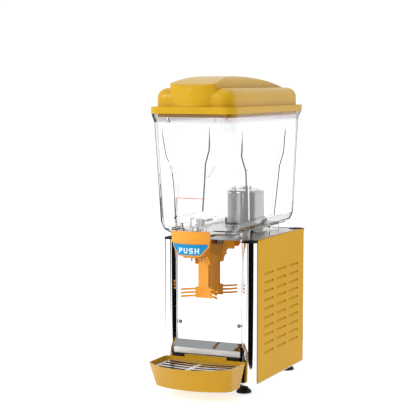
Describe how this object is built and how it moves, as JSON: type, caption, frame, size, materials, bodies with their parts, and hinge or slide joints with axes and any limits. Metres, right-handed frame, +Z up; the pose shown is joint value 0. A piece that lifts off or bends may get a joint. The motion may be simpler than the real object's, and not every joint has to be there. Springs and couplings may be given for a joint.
{
  "type": "beverage dispenser",
  "caption": "Single-tank chilled drink dispenser: clear tank under a domed lid, push-lever tap, four-post base with cooling unit and a pull-out drip tray.",
  "frame": {"origin": "on the floor, at the centre of the footprint of the whole dispenser", "axes": "+Z up, -Y towards the tap and drip tray, +X to the right of a person facing the rear panel, which is the right of the front view"},
  "size_m": [0.2216, 0.4706, 0.69],
  "materials": {
    "chrome": "polished",
    "cap_black": "satin",
    "foot_rubber": "matte",
    "bright_steel": "bright",
    "screw_steel": "darkened",
    "mirror_steel": "mirror polished",
    "panel_yellow": "satin enamel",
    "sheet_steel": "mill finish",
    "rail_grey": "satin",
    "bracket_black": "satin",
    "drum_steel": "fine brushed",
    "copper": "plain copper",
    "gasket_rubber": "matte",
    "magnet_dark": "matte",
    "motor_grey": "satin",
    "stirrer_clear": "clear, gloss",
    "compressor_black": "gloss",
    "condenser_aluminium": "plain",
    "fan_grey": "moulded",
    "control_grey": "moulded",
    "knob_black": "moulded",
    "rocker_green": "gloss",
    "rocker_red": "gloss",
    "tank_clear": "clear, gloss",
    "line_red": "printed",
    "valve_white": "moulded",
    "seal_black": "matte",
    "lever_orange": "clear orange, gloss",
    "cover_orange": "gloss",
    "label_blue": "gloss",
    "letter_white": "gloss",
    "tray_yellow": "satin",
    "grille_steel": "polished",
    "lid_yellow": "satin"
  },
  "bodies": {
    "base": {"base_pan": "sheet_steel", "post_front_left": "chrome", "post_front_right": "chrome", "post_rear_left": "chrome", "post_rear_right": "chrome", "post_caps": "cap_black", "feet": "foot_rubber", "foot_studs": "bright_steel", "front_panel": "mirror_steel", "panel_screws": "screw_steel", "side_panel_left": "panel_yellow", "side_panel_right": "panel_yellow", "rear_panel": "sheet_steel", "rear_screws": "screw_steel", "deck": "sheet_steel", "cross_rails": "rail_grey", "tray_bracket": "bracket_black", "evaporator": "drum_steel", "evaporator_coil": "copper", "evaporator_gasket": "gasket_rubber", "agitator_motor": "motor_grey", "compressor": "compressor_black", "compressor_mounts": "gasket_rubber", "condenser": "condenser_aluminium", "fan_shroud": "sheet_steel", "fan_motor": "motor_grey", "refrigerant_lines": "copper", "filter_drier": "copper", "control_box": "control_grey", "thermostat_body": "control_grey", "switch_frames": "knob_black", "cord_gland": "knob_black"},
    "drive": {"drive_shaft": "bright_steel", "drive_magnet": "magnet_dark"},
    "impeller": {"impeller": "stirrer_clear", "impeller_magnet": "magnet_dark"},
    "fan": {"fan_blade": "fan_grey"},
    "tank": {"tank": "tank_clear", "level_line": "line_red", "valve_cage": "stirrer_clear", "valve_spring": "bright_steel", "pivot_pin": "bright_steel"},
    "lid": {"lid": "lid_yellow"},
    "valve": {"valve_piston": "valve_white", "valve_seal": "seal_black"},
    "lever": {"lever": "lever_orange", "push_cover": "cover_orange", "push_label": "label_blue", "label_letters": "letter_white", "lift_pin": "bright_steel"},
    "tray": {"drip_tray": "tray_yellow"},
    "grille": {"drip_grille": "grille_steel"},
    "knob": {"thermostat_knob": "knob_black"},
    "rocker_stir": {"rocker_stir": "rocker_green"},
    "rocker_cool": {"rocker_cool": "rocker_red"}
  },
  "joints": [
    {"name": "tank_lift", "type": "slide", "parent": "base", "child": "tank", "axis": [0, 0, 1], "range_m": [0, 0.12]},
    {"name": "lid_lift", "type": "slide", "parent": "tank", "child": "lid", "axis": [0, 0, 1], "range_m": [0, 0.12]},
    {"name": "lever_push", "type": "hinge", "parent": "tank", "child": "lever", "pos_m": [0, -0.1723, 0.332], "axis": [1, 0, 0], "range_deg": [0, 11], "stiffness_Nm_per_rad": 0.5, "springref_deg": -11.46},
    {"name": "piston_lift", "type": "slide", "parent": "tank", "child": "valve", "axis": [0, 0, 1], "range_m": [0, 0.0042], "deforming": ["valve_spring"]},
    {"name": "drive_spin", "type": "hinge", "parent": "base", "child": "drive", "pos_m": [0, 0.1157, 0.4], "axis": [0, 0, 1], "continuous": true},
    {"name": "impeller_spin", "type": "hinge", "parent": "base", "child": "impeller", "pos_m": [0, 0.1157, 0.434], "axis": [0, 0, 1], "continuous": true},
    {"name": "fan_spin", "type": "hinge", "parent": "base", "child": "fan", "pos_m": [0, 0.1449, 0.118], "axis": [0, 1, 0], "continuous": true},
    {"name": "tray_pull", "type": "slide", "parent": "base", "child": "tray", "axis": [0, -1, 0], "range_m": [0, 0.16]},
    {"name": "grille_lift", "type": "slide", "parent": "tray", "child": "grille", "axis": [0, 0, 1], "range_m": [0, 0.06]},
    {"name": "thermostat_turn", "type": "hinge", "parent": "base", "child": "knob", "pos_m": [0, 0.2112, 0.236], "axis": [0, 1, 0], "range_deg": [0, 270]},
    {"name": "rocker_stir_tilt", "type": "hinge", "parent": "base", "child": "rocker_stir", "pos_m": [-0.028, 0.2098, 0.29], "axis": [1, 0, 0], "range_deg": [0, 18]},
    {"name": "rocker_cool_tilt", "type": "hinge", "parent": "base", "child": "rocker_cool", "pos_m": [0.028, 0.2098, 0.29], "axis": [1, 0, 0], "range_deg": [0, 18]}
  ],
  "couplings": [
    {"joint": "piston_lift", "follows": "lever_push", "m_per_rad": 0.02137},
    {"joint": "impeller_spin", "follows": "drive_spin", "ratio": 1}
  ]
}
